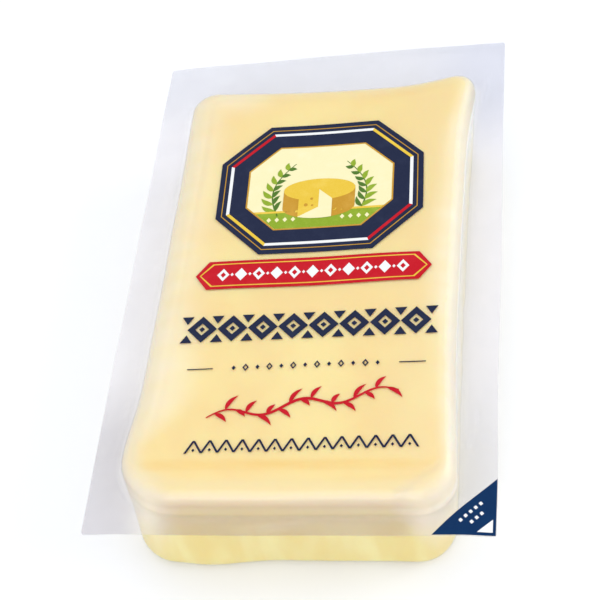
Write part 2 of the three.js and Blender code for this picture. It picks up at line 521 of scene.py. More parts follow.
def hump(off: float, reach: float) -> float:
    """A bell curve: 1 at no distance, and nearly 0 at twice its reach."""
    return math.exp(-((off / reach) ** 2))


def mix(a: float, b: float, share: float) -> float:
    """The number part of the way from a to b."""
    return a + (b - a) * share


def steps(count: int) -> list[float]:
    """Even steps from 0 to 1, both ends included."""
    return [i / count for i in range(count + 1)]


@dataclass(frozen=True)
class Plan:
    """A rounded rectangle seen from above.

    Its radii run near left, near right, far right, far left. bowed is the share of the cheese's drawn-in
    sides and standing corners that the outline has.
    """

    left: float
    right: float
    near: float
    far: float
    radii: tuple[float, float, float, float]
    bowed: float = 1.0

    def grown(self, distance: float) -> Plan:
        """The outline moved outwards by a distance.

        Args:
            distance: The distance, or less than 0 to move it inwards.

        Returns:
            The outline.
        """
        radii = tuple(max(radius + distance, 0.1) for radius in self.radii)
        left, right = self.left - distance, self.right + distance
        return Plan(left, right, self.near - distance, self.far + distance, radii, self.bowed)

    def toward(self, other: Plan, share: float) -> Plan:
        """An outline part of the way to another.

        Args:
            other: The outline at a share of 1.
            share: How far along it lies.

        Returns:
            The outline.
        """
        radii = tuple(mix(a, b, share) for a, b in zip(self.radii, other.radii))
        names = ("left", "right", "near", "far", "bowed")
        moved = {name: mix(getattr(self, name), getattr(other, name), share) for name in names}
        return Plan(radii=radii, **moved)

    def spine(self) -> Plan:
        """The outline shrunk to a line along its middle, where rings that fill it end."""
        middle, half = (self.left + self.right) / 2, (self.right - self.left) / 2
        return Plan(middle, middle, self.near + half, self.far - half, (0.0,) * 4, 0.0)

    def beyond(self, x: float, y: float) -> float:
        """How far a place lies outside the plain outline.

        Args:
            x: How far right the place is.
            y: How far back the place is.

        Returns:
            The distance, or less than 0 inside the outline.
        """
        u, v = x - (self.left + self.right) / 2, y - (self.near + self.far) / 2
        corner = (0 if u < 0 else 1) if v < 0 else (3 if u < 0 else 2)
        radius = self.radii[corner]
        across = abs(u) - (self.right - self.left) / 2 + radius
        along = abs(v) - (self.far - self.near) / 2 + radius
        return min(max(across, along), 0.0) + math.hypot(max(across, 0.0), max(along, 0.0)) - radius

    def points(self, arc: int, end: int, side: int) -> list[Point]:
        """The outline's points, anticlockwise from the near left corner.

        Args:
            arc: Steps round each corner.
            end: Steps along each short side.
            side: Steps along each long side.

        Returns:
            As many points for every outline.
        """
        near_left, near_right, far_right, far_left = self.radii
        corners = [
            (self.left + near_left, self.near + near_left, near_left, end),
            (self.right - near_right, self.near + near_right, near_right, side),
            (self.right - far_right, self.far - far_right, far_right, end),
            (self.left + far_left, self.far - far_left, far_left, side),
        ]

        def on_arc(index: int, share: float) -> Vector:
            """A point on a corner's arc."""
            (x, y, radius, _), angle = corners[index % 4], math.pi + (index + share) * QUARTER
            return Vector((x + radius * math.cos(angle), y + radius * math.sin(angle)))

        made: list[Point] = []
        for index, corner in enumerate(corners):
            made += [tuple(on_arc(index, share)) for share in steps(arc)]
            start, stop = on_arc(index, 1.0), on_arc(index + 1, 0.0)
            made += [tuple(start.lerp(stop, share)) for share in steps(corner[3])[1:-1]]
        return made


@dataclass(frozen=True)
class Ear:
    """A corner of the cheese that stands out."""

    x: float
    y: float
    reach: float
    push: Point


@dataclass(frozen=True)
class Level:
    """One ring of a surface: an outline at a height."""

    plan: Plan
    z: float


@dataclass(frozen=True)
class Fold:
    """A crease that stands up in the film, from one place seen from above to another."""

    start: Point
    stop: Point
    reach: float
    height: float
    taper: float = 0.25

    def lift(self, x: float, y: float) -> float:
        """How high the crease stands at a place: its height on the crease, and nothing far from it.

        Args:
            x: How far right the place is.
            y: How far back the place is.

        Returns:
            The height.
        """
        start, along = Vector(self.start), Vector(self.stop) - Vector(self.start)
        place = Vector((x, y)) - start
        share = held(place.dot(along) / along.length_squared)
        ends = ramp(share, 0.0, self.taper) * ramp(share, 1.0, -self.taper)
        return self.height * (hump((place - along * share).length, self.reach) * ends)


@dataclass(frozen=True)
class PackShape:
    """The sizes that the cheese, the films and the print share. A ramp is a start and a run from there."""

    flange: Plan
    height: float
    base: Plan = Plan(-43.5, 39.9, -76.4, 65.0, (9.5, 9.5, 9, 9), 0.2)
    rim: Plan = Plan(-41.3, 42.3, -74.4, 65.4, (13.0, 9.5, 6.5, 6.5))
    top: Plan = Plan(-34.8, 39.8, -66.8, 61.0, (11.0, 6.5, 4.5, 4.5))
    bow_left: float = 0.4
    bow_right: float = 2.0
    bow_far: float = 1.6
    ears: tuple[Ear, ...] = (Ear(42, 66, 8.5, (1.7, 3.0)), Ear(-43, -61, 9, (-1.9, -0.1)))
    skin: float = 0.65
    rim_height: float = 27.4
    crease_step: float = 0.35
    crease_run: float = 3.2
    crease_hold: float = 0.9
    crease_shares: tuple[float, ...] = (0.12, 0.28, 0.5, 0.75, 1.0)
    foot_radius: float = 3.2
    foot_top: float = 4.0
    shoulder_radius: float = 2.6
    flange_height: float = 26.4
    flange_start: float = 3.6
    flange_bowed: float = 0.6
    corner_lift: tuple[float, float, float, float] = (-2.0, -1.7, 3.1, -0.9)
    bow_near_edge: float = -1.2
    bow_far_edge: float = 0.5
    lift_out: Ramp = (0.0, 13.0)
    lift_up: Ramp = (22.4, 3.0)
    ripple_depth: float = 0.22
    ripple_across: float = 17.0
    ripple_along: float = 21.0
    bulge: float = 1.6
    bulge_x: float = -24.0
    bulge_reach: float = 11.0
    bulge_height: float = 8.0
    bulge_near: Ramp = (-55.0, -15.0)
    slow_depth: float = 0.28
    slow_size: float = 27.0
    pucker_depth: float = 0.34
    pucker_size: float = 5.5
    pucker_length: float = 60.0
    dent_depth: float = 0.4
    dent_size: float = 11.0
    wall_middle: Point = (-1.8, -5.7)
    wall_down: Ramp = (25.0, -6.0)
    foot_up: Ramp = (0.0, 5.0)
    folds: tuple[Fold, ...] = (
        Fold((26.5, -75.0), (41.5, -63.8), 1.2, 0.38),
        Fold((36.0, -75.5), (40.5, -72.5), 1.0, 0.14),
        Fold((-13.0, -80.4), (6.5, -78.4), 0.9, 0.16),
        Fold((-6.0, -79.4), (9.0, -79.0), 0.8, 0.12),
        Fold((45.2, -58.5), (46.2, -53.0), 0.45, 0.4),
        Fold((47.2, -52.5), (47.8, -46.5), 0.4, 0.35),
        Fold((-45.0, -66.0), (-37.0, -76.5), 1.3, 0.35),
        Fold((44.6, 56.0), (46.2, 70.0), 1.1, 0.4),
    )
    fold_up: Ramp = (24.5, 1.5)
    fold_down: Ramp = (32.0, -1.0)
    arc_steps: int = 16
    end_steps: int = 62
    side_steps: int = 104
    underside_rings: int = 12
    foot_rings: int = 7
    lip_rings: int = 14
    top_rings: int = 16

    @classmethod
    def from_frame(cls) -> PackShape:
        """Takes the flange's outline and the pack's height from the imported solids.

        Returns:
            The pack's form.
        """
        low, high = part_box("top_film")
        half_wide, half_long = (high.x - low.x) / 2 / MM, (high.y - low.y) / 2 / MM
        edge = Plan(-half_wide, half_wide, -half_long, half_long, (0.8,) * 4, 0.0)
        return cls(flange=edge, height=high.z / MM)

    @property
    def cheese_top(self) -> float:
        """The height of the cheese's top face in the solids."""
        return self.height - self.skin

    def drawn_in(self, point: Point, plan: Plan) -> Point:
        """Draws a point of an outline in between the corners of the cheese, and pushes out the ears.

        Args:
            point: The point on the plain outline.
            plan: The outline.

        Returns:
            The point's real place.
        """
        x, y = point
        half_wide = max((plan.right - plan.left) / 2, 0.1)
        half_long = max((plan.far - plan.near) / 2, 0.1)
        u = (x - (plan.left + plan.right) / 2) / half_wide
        v = (y - (plan.near + plan.far) / 2) / half_long
        along_x, along_y = max(1 - u * u, 0.0), max(1 - v * v, 0.0)
        move_x = along_y * (self.bow_left * max(-u, 0) ** 3 - self.bow_right * max(u, 0) ** 3)
        move_y = -along_x * self.bow_far * max(v, 0) ** 3
        for ear in self.ears:
            near = math.exp(-((x - ear.x) ** 2 + (y - ear.y) ** 2) / (2 * ear.reach**2))
            move_x += ear.push[0] * near
            move_y += ear.push[1] * near
        return x + move_x * plan.bowed, y + move_y * plan.bowed

    def flange_lift(self, x: float, y: float, z: float) -> float:
        """How far the soft flange stands above or below its plane: nothing over the cheese and its sides.

        Args:
            x: How far right the place is.
            y: How far back the place is.
            z: Its height on the plain form.

        Returns:
            The height.
        """
        across = max(self.rim.left - x, x - self.rim.right, 0.0)
        along = max(self.rim.near - y, y - self.rim.far, 0.0)
        on_flange = ramp(math.hypot(across, along), *self.lift_out) * ramp(z, *self.lift_up)
        u = (x - self.flange.left) / (self.flange.right - self.flange.left)
        v = (y - self.flange.near) / (self.flange.far - self.flange.near)
        bow = 4 * u * (1 - u)
        near_left, near_right, far_right, far_left = self.corner_lift
        near = mix(near_left, near_right, u) + self.bow_near_edge * bow
        far = mix(far_left, far_right, u) + self.bow_far_edge * bow
        wave = math.sin(math.pi * x / self.ripple_across) * math.sin(math.pi * y / self.ripple_along)
        return on_flange * (mix(near, far, v) + self.ripple_depth * wave)

    def foot_bulge(self, x: float, y: float, z: float) -> float:
        """How far the foot of the cheese bulges forward at a place."""
        reach = self.bulge * hump(z, self.bulge_height) * hump(x - self.bulge_x, self.bulge_reach)
        return reach * ramp(y, *self.bulge_near)

    def creased(self, x: float, y: float, z: float) -> float:
        """How far the folds lift the film at a place beside the cheese."""
        free = ramp(z, *self.fold_up) * ramp(z, *self.fold_down)
        return free * sum(fold.lift(x, y) for fold in self.folds)

    def relief(self, point: Vector) -> Vector:
        """The slow unevenness of the cheese, which the films follow, and the puckers of its walls.

        Args:
            point: A place in millimetres.

        Returns:
            How far that place is moved.
        """
        slow = noise.noise_vector(point / self.slow_size) * self.slow_depth
        size = self.pucker_size
        pucker = noise.noise(Vector((point.x / size, point.y / size, point.z / self.pucker_length + 7.0)))
        dent = noise.noise(point / self.dent_size + Vector((3.0, 9.0, 4.0)))
        outward = Vector((point.x - self.wall_middle[0], point.y - self.wall_middle[1], 0.0)).normalized()
        on_wall = ramp(point.z, *self.wall_down)
        wall = outward * on_wall * (self.pucker_depth * pucker + self.dent_depth * dent)
        return ramp(point.z, *self.foot_up) * (slow + wall)

    def settle(self, point: Vector) -> Vector:
        """Moves a point of the plain form.

        Args:
            point: The point.

        Returns:
            Where the soft pack has it.
        """
        x, y, z = point
        lifted = z + self.flange_lift(x, y, z) + self.creased(x, y, z)
        return Vector((x, y - self.foot_bulge(x, y, z), lifted)) + self.relief(point)

    def ring(self, level: Level) -> list[tuple[Vector, Vector]]:
        """Lays out the points of a level.

        Args:
            level: The level.

        Returns:
            Each point's place on the plain form and where it settles.
        """
        outline = level.plan.points(self.arc_steps, self.end_steps, self.side_steps)
        drawn = (Vector((*self.drawn_in(point, level.plan), level.z)) for point in outline)
        return [(Vector((*point, level.z)), self.settle(place)) for point, place in zip(outline, drawn)]

    def side_plan(self, z: float, offset: float) -> Plan:
        """The plan of the side at a height and a distance out from the cheese."""
        return self.base.toward(self.rim, z / self.rim_height).grown(offset)

    def body_levels(self, offset: float, high: float, count: int) -> list[Level]:
        """The underside, the rounded foot and the upright side.

        Args:
            offset: The distance out from the cheese.
            high: The height just over the last level.
            count: How many gaps there are between the levels of the upright side.

        Returns:
            Its levels, from the underside's middle up.
        """
        bottom = self.skin - offset
        edge = self.side_plan(bottom, offset - self.foot_radius)
        inner = steps(self.underside_rings)[:-1]
        made = [Level(edge.toward(edge.spine(), 1 - share), bottom) for share in inner]
        for share in steps(self.foot_rings):
            z = bottom + self.foot_radius * (1 - math.cos(share * QUARTER))
            inset = self.foot_radius * (1 - math.sin(share * QUARTER))
            made.append(Level(self.side_plan(z, offset - inset), z))
        heights = [mix(self.foot_top, high, share) for share in steps(count)[1:-1]]
        return made + [Level(self.side_plan(z, offset), z) for z in heights]

    def head_levels(self, offset: float) -> list[Level]:
        """The rounded lip, the crease and the top face.

        Args:
            offset: The distance out from the cheese.

        Returns:
            Its levels, from the rim up to the line along the top's middle.
        """
        rise = self.cheese_top - self.crease_step - self.rim_height
        made = []
        for share in steps(self.lip_rings):
            plan = self.rim.toward(self.top, 1 - math.cos(share * QUARTER))
            z = self.rim_height + rise * math.sin(share * QUARTER) + offset * share
            made.append(Level(plan.grown(offset * (1 - self.crease_hold * share)), z))
        z = self.cheese_top + offset
        for share in self.crease_shares:
            dip = self.crease_step * (1 - smooth(share)) * (1 - share)
            made.append(Level(self.top.grown(-self.crease_run * share), z - dip))
        flat = made[-1].plan
        return made + [Level(flat.toward(flat.spine(), share), z) for share in steps(self.top_rings)[1:]]

    def seal(self, z: float, count: int) -> list[Level]:
        """One face of the flat flange, with its rings from its inner edge to its cut edge."""
        inner = replace(self.rim.grown(self.flange_start), bowed=self.flange_bowed)
        return [Level(inner.toward(self.flange, share), z) for share in steps(count)]


# ---- Meshes ----


class Mesh:
    """A bmesh in millimetres on its way to becoming a piece."""

    def __init__(self) -> None:
        """Starts an empty mesh."""
        self.bm = bmesh.new()

    @classmethod
    def through(
        cls, levels: Sequence[Level], shape: PackShape, marks: dict[str, Callable[[Vector], float]]
    ) -> Mesh:
        """A grid rolled up through rings, closed where its first and last rings shrink to a line.

        Args:
            levels: The rings in order.
            shape: The pack's form.
            marks: The vertex attributes, each with its number at a place on the plain form.

        Returns:
            The mesh.
        """
        made = cls()
        rings = [shape.ring(level) for level in levels]
        around, along = len(rings[0]), len(rings) - 1
        bmesh.ops.create_grid(made.bm, x_segments=around, y_segments=along, size=0.5)
        layers = [(made.bm.verts.layers.float.new(name), number_at) for name, number_at in marks.items()]
        for vertex in made.bm.verts:
            index = round((vertex.co.x + 0.5) * around) % around
            row = round((vertex.co.y + 0.5) * along)
            plain, vertex.co = rings[row][index]
            for layer, number_at in layers:
                vertex[layer] = number_at(plain)
        bmesh.ops.remove_doubles(made.bm, verts=made.bm.verts, dist=0.002)
        bmesh.ops.recalc_face_normals(made.bm, faces=made.bm.faces)
        return made

    def into_piece(
        self, name: str, material: bpy.types.Material, slot: Slot, soft: bool = True
    ) -> bpy.types.Object:
        """Ends the mesh as an object that rides on the pack.

        Args:
            name: The piece's name.
            material: Its material.
            slot: The record's slot for the piece; not used.
            soft: Whether its faces are shaded smooth.

        Returns:
            The object, at the origin and in metres.
        """
        bmesh.ops.scale(self.bm, vec=(MM, MM, MM), verts=self.bm.verts)
        for face in self.bm.faces:
            face.smooth = soft
        for edge in self.bm.edges:
            edge.smooth = len(edge.link_faces) < 2 or edge.calc_face_angle() < SHARP
        data = bpy.data.meshes.new(name)
        self.bm.to_mesh(data)
        self.bm.free()
        data.materials.append(material)
        piece = bpy.data.objects.new(name, data)
        bpy.context.collection.objects.link(piece)
        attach(piece, BODY)
        LOG.info("%s: %d faces", name, len(data.polygons))
        return piece


# ---- The cheese and its films ----


@dataclass(frozen=True)
class RimLook:
    """How the pack looks near one place on the cheese's rim.

    film and seal say how milky one film is on the rim and in the flange, pale how much painted
    highlight the cheese takes on its rim, and reach how far inside the rim that ends.
    """

    place: Point
    film: float
    seal: float
    pale: float
    reach: float


@dataclass(frozen=True)
class Rims:
    """The look of the rim all round the pack, known at a few places."""

    known: tuple[RimLook, ...] = (
        RimLook((-22, -74), 0.22, 0.11, 0.60, 2.6),
        RimLook((0, -74), 0.20, 0.10, 0.55, 2.5),
        RimLook((20, -74), 0.22, 0.11, 0.60, 2.7),
        RimLook((-39, -71), 0.34, 0.25, 0.92, 8.5),
        RimLook((-41, -42), 0.26, 0.20, 0.94, 27.0),
        RimLook((-41, 0), 0.26, 0.22, 0.88, 20.0),
        RimLook((-41, 42), 0.26, 0.24, 0.88, 20.0),
        RimLook((-38, 63), 0.30, 0.26, 0.92, 20.0),
        RimLook((0, 65), 0.18, 0.22, 0.45, 9.0),
        RimLook((40, 64), 0.34, 0.22, 0.45, 6.0),
        RimLook((42, 34), 0.34, 0.22, 0.50, 9.0),
        RimLook((42, 0), 0.36, 0.24, 0.55, 11.0),
        RimLook((42, -42), 0.36, 0.24, 0.50, 7.0),
        RimLook((38, -69), 0.36, 0.13, 0.62, 6.0),
    )
    softness: float = 9.0

    def at(self, x: float, y: float) -> RimLook:
        """The look at a place, as a mean of the known ones in which the near ones count most.

        Args:
            x: How far right the place is.
            y: How far back the place is.

        Returns:
            The look.
        """
        squares = [(x - look.place[0]) ** 2 + (y - look.place[1]) ** 2 for look in self.known]
        weights = [1 / (square + self.softness) ** 2 for square in squares]
        total = sum(weights)
        names = ("film", "seal", "pale", "reach")
        means = [sum(w * getattr(k, name) for w, k in zip(weights, self.known)) / total for name in names]
        return RimLook((x, y), *means)


@dataclass
class CheeseBlock:
    """The block of cheese."""

    shape: PackShape
    rims: Rims
    finish: CheeseFinish = field(default_factory=CheeseFinish)
    offset: float = 0.42
    wall_rings: int = 22
    lip_run: float = 2.0
    side_out: Ramp = (25.0, 12.0)
    wall_start: float = 30.4
    wall_fade: float = 5.0
    side_fade: float = 32.0
    falloff: float = 1.3

    def paleness(self, point: Vector) -> float:
        """How much painted highlight the cheese takes under the film: most on its rim, and not at all low
        on its walls.

        Args:
            point: A place on the plain form.

        Returns:
            The share of the painted highlight colour.
        """
        look = self.rims.at(point.x, point.y)
        on_lip = ramp(point.z, self.shape.rim_height - self.lip_run, self.lip_run)
        inside = -self.shape.rim.beyond(point.x, point.y) * on_lip
        at_side = ramp(abs(point.x), *self.side_out)
        fade = mix(self.wall_fade, self.side_fade, at_side)
        low = smooth(1 - (self.wall_start - point.z) / fade)
        pale = mix(look.pale, 1.0, at_side * (1 - on_lip))
        return pale * low * (1 - smooth(inside / look.reach)) ** self.falloff

    def build(self) -> bpy.types.Object:
        """Builds and dresses the cheese.

        Returns:
            The piece, which stands for its solid.
        """
        shape, offset = self.shape, self.offset
        levels = shape.body_levels(offset, shape.rim_height, self.wall_rings) + shape.head_levels(offset)
        mesh = Mesh.through(levels, shape, {PALE: self.paleness})
        piece = mesh.into_piece("cheese", self.finish.material(), Slot.CHEESE)
        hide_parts("cheese_block")
        return piece


@dataclass
class Films:
    """The drawn tray film and the printed top film, sealed together in the flange."""

    shape: PackShape
    rims: Rims
    thickness: float = 0.2
    seal_gap: float = 0.02
    seal_rings: int = 12
    wall_rings: int = 20
    shoulder_rings: int = 6
    tent_rings: int = 6
    pressed_milk: float = 0.02
    fold_milk: float = 0.5
    right_milk: float = 0.15
    most_milk: float = 0.205
    rim_in: Ramp = (-3.0, 3.0)
    rim_out: Ramp = (-0.3, 2.2)
    lid_out: Ramp = (-0.9, 1.6)
    tray_out: Ramp = (1.2, 2.6)
    tray_up: Ramp = (22.5, 3.0)
    right_out: Ramp = (36.5, 2.5)
    right_far: Ramp = (-74.0, 6.0)

    @property
    def lid_top(self) -> float:
        """The height of the flange's upper face before it settles."""
        return self.shape.flange_height + self.seal_gap + self.thickness

    def one_face(self, film: float) -> float:
        """The milkiness of each of a film's two faces, held low enough to stay see-through."""
        return min(1 - math.sqrt(1 - film), self.most_milk)

    def lid_milk(self, point: Vector) -> float:
        """How milky each face of the top film is: clear on the cheese, whitest round its rim.

        Args:
            point: A place on the plain form.

        Returns:
            The share of light that the face scatters.
        """
        look = self.rims.at(point.x, point.y)
        beyond = self.shape.rim.beyond(point.x, point.y)
        milk = mix(look.film, look.seal, ramp(beyond, *self.rim_out))
        folded = sum(fold.lift(point.x, point.y) for fold in self.shape.folds)
        plain = mix(self.pressed_milk, milk, ramp(beyond, *self.rim_in))
        return self.one_face(plain + self.fold_milk * folded)

    def lid_share(self, point: Vector) -> float:
        """How far out on the flange a place of the top film lies, from 0 at the rim to 1."""
        return ramp(self.shape.rim.beyond(point.x, point.y), *self.lid_out)

    def tray_share(self, point: Vector) -> float:
        """How far out on the flange a place of the tray film lies, from 0 down its sides to 1."""
        beyond = self.shape.rim.beyond(point.x, point.y)
        return ramp(beyond, *self.tray_out) * ramp(point.z, *self.tray_up)

    def tray_milk(self, point: Vector) -> float:
        """How milky each face of the tray film is: clear on the cheese, and hazy in the flange.

        Args:
            point: A place on the plain form.

        Returns:
            The share of light that the face scatters.
        """
        seal = self.rims.at(point.x, point.y).seal
        wall = self.right_milk * ramp(point.x, *self.right_out) * ramp(point.y, *self.right_far)
        return self.one_face(mix(self.pressed_milk + wall, seal, self.tray_share(point)))

    def lid_face(self, offset: float, flange_z: float) -> list[Level]:
        """One face of the top film. It leaves the lip in a hollow curve that joins the flange.

        Args:
            offset: The distance out from the cheese.
            flange_z: The face's height on the flange.

        Returns:
            Its levels, from its middle to the cut edge.
        """
        head = self.shape.head_levels(offset)[::-1]
        seal = self.shape.seal(flange_z, self.seal_rings)
        foot, start = head[-1], seal[0]
        tent = [
            Level(foot.plan.toward(start.plan, share), mix(foot.z, start.z, 1 - (1 - share) ** 2))
            for share in steps(self.tent_rings)[1:-1]
        ]
        return head + tent + seal

    def tray_face(self, offset: float, flange_z: float) -> list[Level]:
        """One face of the tray film, which bends out over a rounded shoulder into the flange.

        Args:
            offset: The distance out from the cheese.
            flange_z: The face's height on the flange.

        Returns:
            Its levels, from its middle to the cut edge.
        """
        shape, radius = self.shape, self.shape.shoulder_radius
        shoulder = []
        for share in steps(self.shoulder_rings):
            z = flange_z - radius * (1 - math.sin(share * QUARTER))
            plan = shape.side_plan(z, offset + radius * (1 - math.cos(share * QUARTER)))
            shoulder.append(Level(replace(plan, bowed=mix(1.0, shape.flange_bowed, share)), z))
        body = shape.body_levels(offset, flange_z - radius, self.wall_rings)
        return body + shoulder + shape.seal(flange_z, self.seal_rings)

    def build(self) -> list[bpy.types.Object]:
        """Builds and dresses both films.

        Returns:
            The two pieces, which stand for their solids.
        """
        outer, inner = self.shape.skin, self.shape.skin - self.thickness
        under, over = self.shape.flange_height - self.seal_gap, self.shape.flange_height + self.seal_gap
        tray = [*self.tray_face(outer, under - self.thickness), *self.tray_face(inner, under)[::-1]]
        lid = [*self.lid_face(outer, self.lid_top), *self.lid_face(inner, over)[::-1]]
        parts = (
            ("tray_film", "bottom_film", tray, {MILK: self.tray_milk, SEAL: self.tray_share}),
            ("lid_film", "top_film", lid, {MILK: self.lid_milk, SEAL: self.lid_share}),
        )
        made = []
        for name, node, levels, marks in parts:
            mesh = Mesh.through(levels, self.shape, marks)
            piece = mesh.into_piece(name, FilmFinish(name).material(), Slot.FILM)
            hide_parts(node)
            made.append(piece)
        return made


# ---- The print ----


def row(middle: Point, pitch: float, count: int, along: Point = (1.0, 0.0)) -> list[Point]:
    """Even places in a row, from its middle, its pitch and the way that it runs."""
    offsets = [pitch * (number - (count - 1) / 2) for number in range(count)]
    return [(middle[0] + offset * along[0], middle[1] + offset * along[1]) for offset in offsets]


@dataclass
class Ink:
    """Flat shapes of one colour, a hair thick, drawn in millimetres and then laid on the film."""

    name: str
    tone: Tone
    layer: int = 0
    mesh: Mesh = field(default_factory=Mesh)

    THICKNESS = 0.03
    LAYER_STEP = 0.035
    CLEARANCE = 0.05
    GRID = 2.0
    NEARBY = 0.001

    def polygon(self, points: Iterable[Point]) -> None:
        """Adds a flat shape with straight sides."""
        corners = [self.mesh.bm.verts.new((x, y, 0.0)) for x, y in points]
        self.mesh.bm.faces.new(corners)

    def frame(
        self, outer: Sequence[Point], inner: Sequence[Point], sides: Iterable[int] | None = None
    ) -> None:
        """Adds a line that runs between two outlines.

        Args:
            outer: The corners of the outer outline.
            inner: As many corners of the inner outline.
            sides: The sides that are drawn, or all of them.
        """
        count = len(outer)
        for side in range(count) if sides is None else sides:
            after = (side + 1) % count
            self.polygon([outer[side], outer[after], inner[after], inner[side]])

    def oval(self, centre: Point, half_wide: float, half_high: float, segments: int = 48) -> None:
        """Adds a filled oval.

        Args:
            centre: Its middle.
            half_wide: Half its width.
            half_high: Half its height.
            segments: The sides it has.
        """
        matrix = Matrix.Translation((*centre, 0.0)) @ Matrix.Diagonal((half_wide, half_high, 1.0, 1.0))
        bmesh.ops.create_circle(self.mesh.bm, cap_ends=True, segments=segments, radius=1.0, matrix=matrix)

    def lozenge(self, centre: Point, wide: float, high: float, open_share: float = 0.0) -> None:
        """Adds a diamond.

        Args:
            centre: Its middle.
            wide: Its width.
            high: Its height.
            open_share: How much of its width and height is left open inside it.
        """
        x, y = centre
        corners = [(-wide / 2, 0.0), (0.0, -high / 2), (wide / 2, 0.0), (0.0, high / 2)]
        outer = [(x + u, y + v) for u, v in corners]
        if open_share:
            self.frame(outer, [(x + u * open_share, y + v * open_share) for u, v in corners])
        else:
            self.polygon(outer)

    def stroke(self, path: Callable[[float], Point], width: Callable[[float], float], count: int) -> None:
        """Adds a brush stroke.

        Args:
            path: The place on the stroke's middle line at each share of its length.
            width: Its width there.
            count: The steps along it.
        """
        made = bmesh.ops.create_grid(self.mesh.bm, x_segments=count, y_segments=1, size=0.5)
        for vertex in made["verts"]:
            share, side = vertex.co.x + 0.5, vertex.co.y
            here = Vector(path(share))
            ahead = Vector(path(share + self.NEARBY)) - Vector(path(share - self.NEARBY))
            across = Vector((-ahead.y, ahead.x)).normalized() * width(share) * side
            vertex.co = (*(here + across), 0.0)

    def leaf(self, root: Point, angle: float, length: float, wide: float) -> None:
        """Adds a pointed leaf.

        Args:
            root: Where it leaves its stem.
            angle: The way that it points.
            length: Its length.
            wide: Its greatest width.
        """
        ahead = Vector((math.cos(angle), math.sin(angle)))
        bend = Vector((-ahead.y, ahead.x)) * 0.12 * length

        def path(share: float) -> Point:
            """The leaf's middle line, slightly bent."""
            place = Vector(root) + ahead * length * share + bend * math.sin(math.pi * share)
            return place.x, place.y

        self.stroke(path, lambda share: wide * math.sin(math.pi * held(share) ** 0.8), 8)

    def lay(self, place: Callable[[Vector], Vector], material: bpy.types.Material) -> bpy.types.Object:
        """Thickens the shapes and lays them on the film.

        Args:
            place: Takes a point of the drawing, and its height over the film, to its place on the pack.
            material: The ink's material.

        Returns:
            The piece.
        """
        bm = self.mesh.bm
        bmesh.ops.dissolve_degenerate(bm, dist=0.001, edges=bm.edges)
        for axis in (0, 1):
            normal = Vector((1 - axis, axis, 0.0))
            lines = int(max(abs(vertex.co[axis]) for vertex in bm.verts) / self.GRID)
            for line in range(-lines, lines + 1):
                geom = [*bm.verts, *bm.edges, *bm.faces]
                bmesh.ops.bisect_plane(bm, geom=geom, plane_co=normal * line * self.GRID, plane_no=normal)
        for face in bm.faces:
            if face.normal.z < 0:
                face.normal_flip()
        raised = bmesh.ops.extrude_face_region(bm, geom=list(bm.faces))
        lifted = [item for item in raised["geom"] if isinstance(item, bmesh.types.BMVert)]
        bmesh.ops.translate(bm, vec=(0, 0, self.THICKNESS), verts=lifted)
        bmesh.ops.triangulate(bm, faces=bm.faces)
        bmesh.ops.recalc_face_normals(bm, faces=bm.faces)
        lift = self.CLEARANCE + self.layer * self.LAYER_STEP
        for vertex in bm.verts:
            vertex.co = place(vertex.co + Vector((0, 0, lift)))
        return self.mesh.into_piece(self.name, material, self.tone.slot, soft=False)


